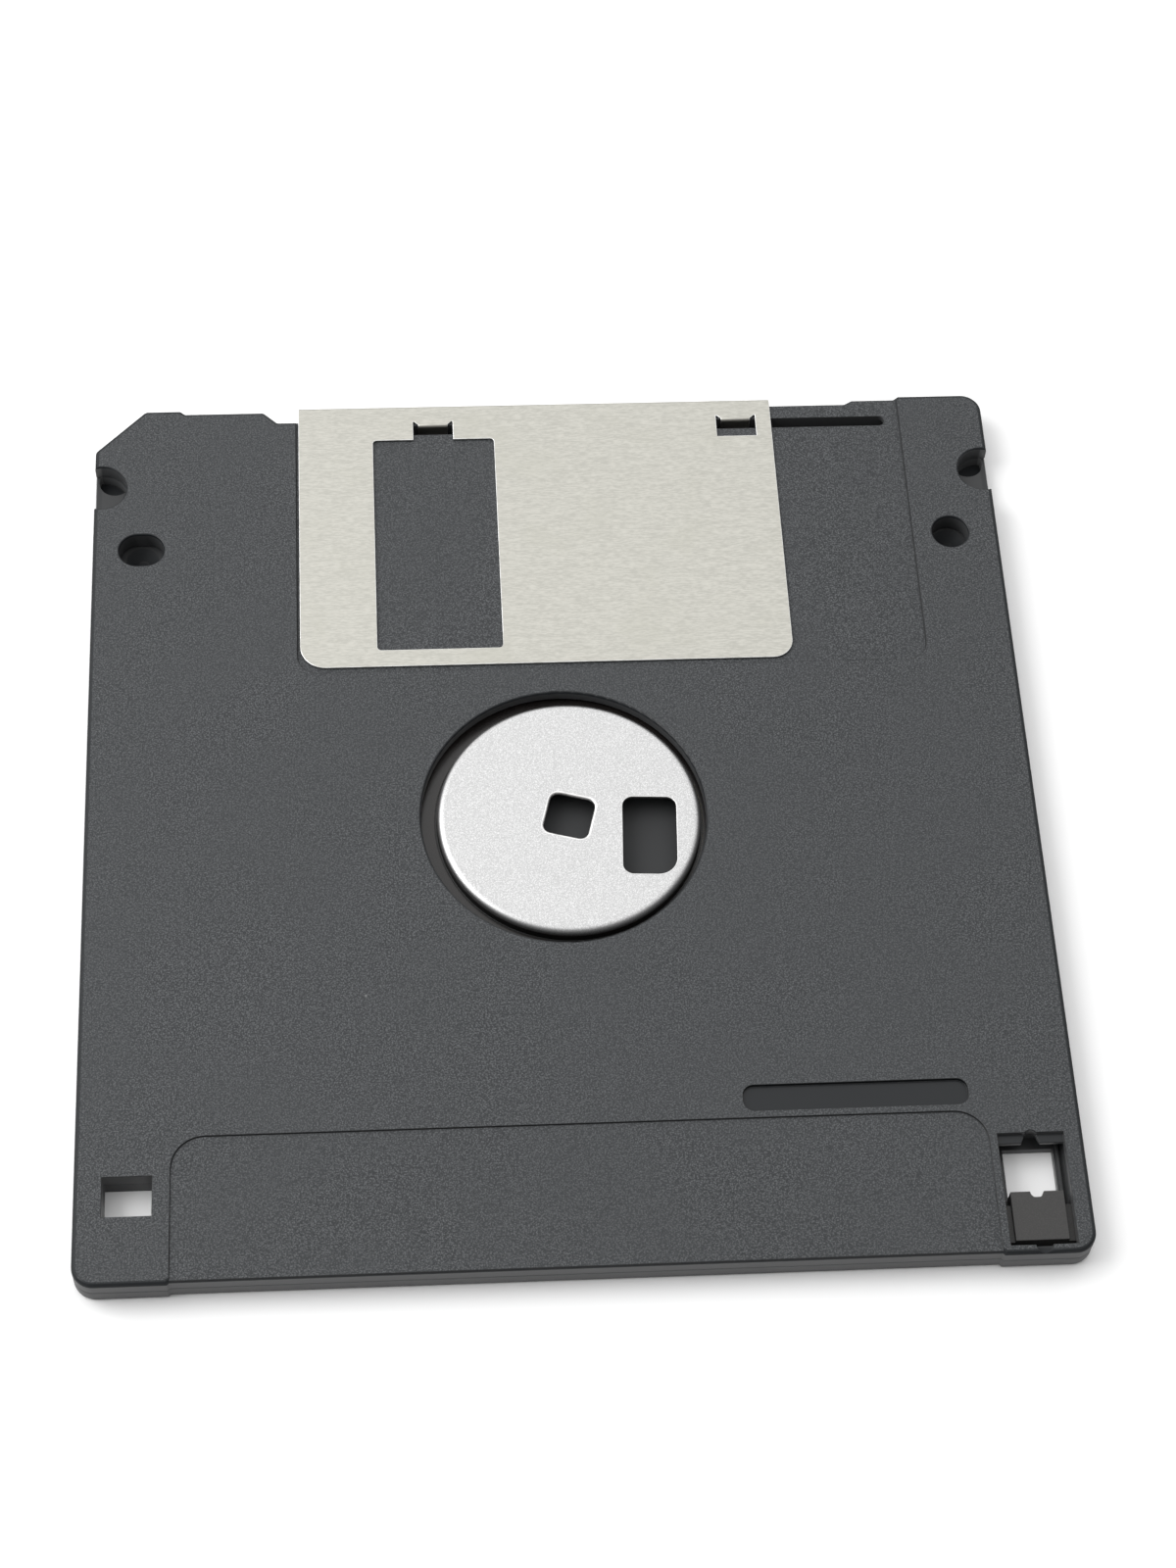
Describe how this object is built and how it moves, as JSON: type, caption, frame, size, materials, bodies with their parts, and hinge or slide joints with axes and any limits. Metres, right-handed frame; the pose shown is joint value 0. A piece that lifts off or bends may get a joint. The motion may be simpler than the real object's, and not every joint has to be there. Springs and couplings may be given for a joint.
{
  "type": "floppy disk",
  "caption": "Flat square floppy disk cartridge with a sliding metal shutter, a metal hub in a round hole, a write-protect slider and a keyed corner.",
  "frame": {"origin": "under the middle of the case, on the label side", "axes": "+X to the right seen on the hub side, +Y to the shutter edge, +Z out of the hub side"},
  "size_m": [0.09, 0.094, 0.0033],
  "materials": {
    "shell_plastic": "fine spark-eroded grain",
    "slider_plastic": "smooth satin",
    "shutter_steel": "brushed across the slide",
    "spring_steel": "drawn wire",
    "hub_steel": "fine satin grain",
    "adhesive": "dull",
    "magnetic_film": "smooth coated film",
    "liner_fabric": "non-woven",
    "leaf_plastic": "thin sheet"
  },
  "bodies": {
    "case": {"rear_shell": "shell_plastic", "front_shell": "shell_plastic", "rear_liner": "liner_fabric", "front_liner": "liner_fabric", "wiper_leaf": "leaf_plastic", "shutter_spring": "spring_steel"},
    "shutter": {"shutter": "shutter_steel"},
    "write_protect_tab": {"write_protect_slider": "slider_plastic"},
    "media": {"hub": "hub_steel", "hub_adhesive_ring": "adhesive", "magnetic_disk": "magnetic_film"}
  },
  "joints": [
    {"name": "shutter_slide", "type": "slide", "parent": "case", "child": "shutter", "axis": [1, 0, 0], "range_m": [0, 0.0125], "stiffness_N_per_m": 40, "springref_m": -0.012, "deforming": ["shutter_spring"]},
    {"name": "write_protect_slide", "type": "slide", "parent": "case", "child": "write_protect_tab", "axis": [0, 1, 0], "range_m": [0, 0.0045]},
    {"name": "disk_spin", "type": "hinge", "parent": "case", "child": "media", "pos_m": [0.0005, -0.0013, 0.002], "axis": [0, 0, 1], "continuous": true}
  ]
}
